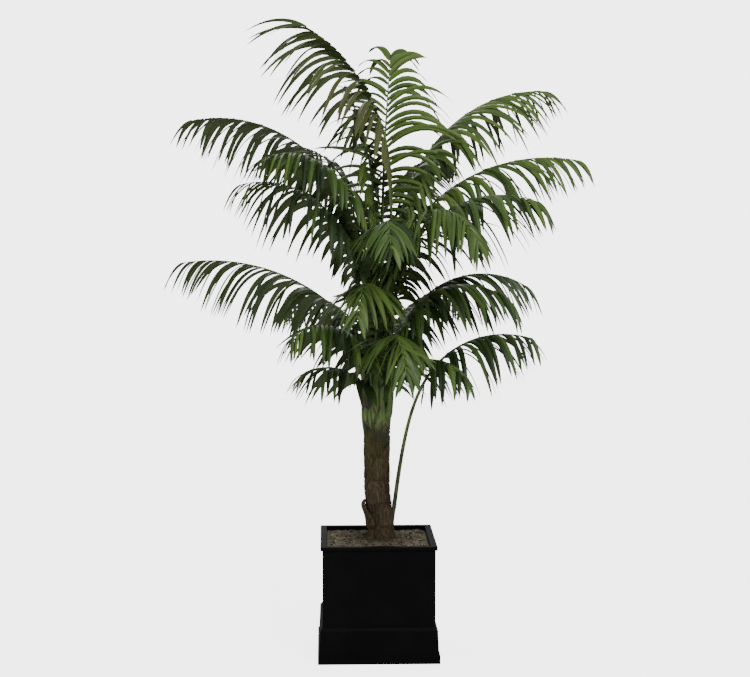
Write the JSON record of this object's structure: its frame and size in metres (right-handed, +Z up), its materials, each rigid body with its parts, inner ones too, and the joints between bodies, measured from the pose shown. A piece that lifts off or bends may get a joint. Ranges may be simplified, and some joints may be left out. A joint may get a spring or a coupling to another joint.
{
  "type": "potted kentia palm",
  "caption": "Tall potted palm with a flared fibrous trunk, a green crown shaft and arching feather fronds, standing in a square planter with a lip and plinth.",
  "frame": {"origin": "centre of the planter's flat underside", "axes": "+Z up along the trunk, -Y the plant's front, +X its right-hand side seen from the front"},
  "size_m": [1.5187, 1.2584, 2.2056],
  "materials": {
    "planter_black": "near-black satin moulded planter",
    "potting_soil": "grey-brown soil with coir and bark chips",
    "trunk_fibre": "brown fibrous bark with old leaf bases",
    "crown_green": "green clasping leaf sheaths with brown edges",
    "stalk_green": "smooth green leaf stalks",
    "leaf_green": "deep green leaflets with a soft gloss"
  },
  "bodies": {
    "root": {"crown_shaft": "crown_green", "frond_back": "leaf_green", "frond_back_left": "leaf_green", "frond_back_left_low": "leaf_green", "frond_back_right": "leaf_green", "frond_back_right_low": "leaf_green", "frond_front": "leaf_green", "frond_front_left": "leaf_green", "frond_front_left_low": "leaf_green", "frond_front_low": "leaf_green", "frond_front_middle": "leaf_green", "frond_front_right": "leaf_green", "frond_front_right_low": "leaf_green", "frond_inner": "leaf_green", "frond_left_high": "leaf_green", "frond_left_low": "leaf_green", "frond_left_lowest": "leaf_green", "frond_left_middle": "leaf_green", "frond_right_front": "leaf_green", "frond_right_high": "leaf_green", "frond_right_inner": "leaf_green", "frond_right_low": "leaf_green", "frond_right_lowest": "leaf_green", "frond_right_middle": "leaf_green", "frond_top": "leaf_green", "frond_top_left": "leaf_green", "planter_box": "planter_black", "planter_lip": "planter_black", "planter_plinth": "planter_black", "soil": "potting_soil", "stalk_back": "stalk_green", "stalk_back_left": "stalk_green", "stalk_back_left_low": "stalk_green", "stalk_back_right": "stalk_green", "stalk_back_right_low": "stalk_green", "stalk_front": "stalk_green", "stalk_front_left": "stalk_green", "stalk_front_left_low": "stalk_green", "stalk_front_low": "stalk_green", "stalk_front_middle": "stalk_green", "stalk_front_right": "stalk_green", "stalk_front_right_low": "stalk_green", "stalk_inner": "stalk_green", "stalk_left_high": "stalk_green", "stalk_left_low": "stalk_green", "stalk_left_lowest": "stalk_green", "stalk_left_middle": "stalk_green", "stalk_right_front": "stalk_green", "stalk_right_high": "stalk_green", "stalk_right_inner": "stalk_green", "stalk_right_low": "stalk_green", "stalk_right_lowest": "stalk_green", "stalk_right_middle": "stalk_green", "stalk_top": "stalk_green", "stalk_top_left": "stalk_green", "trunk": "trunk_fibre"}
  },
  "joints": []
}
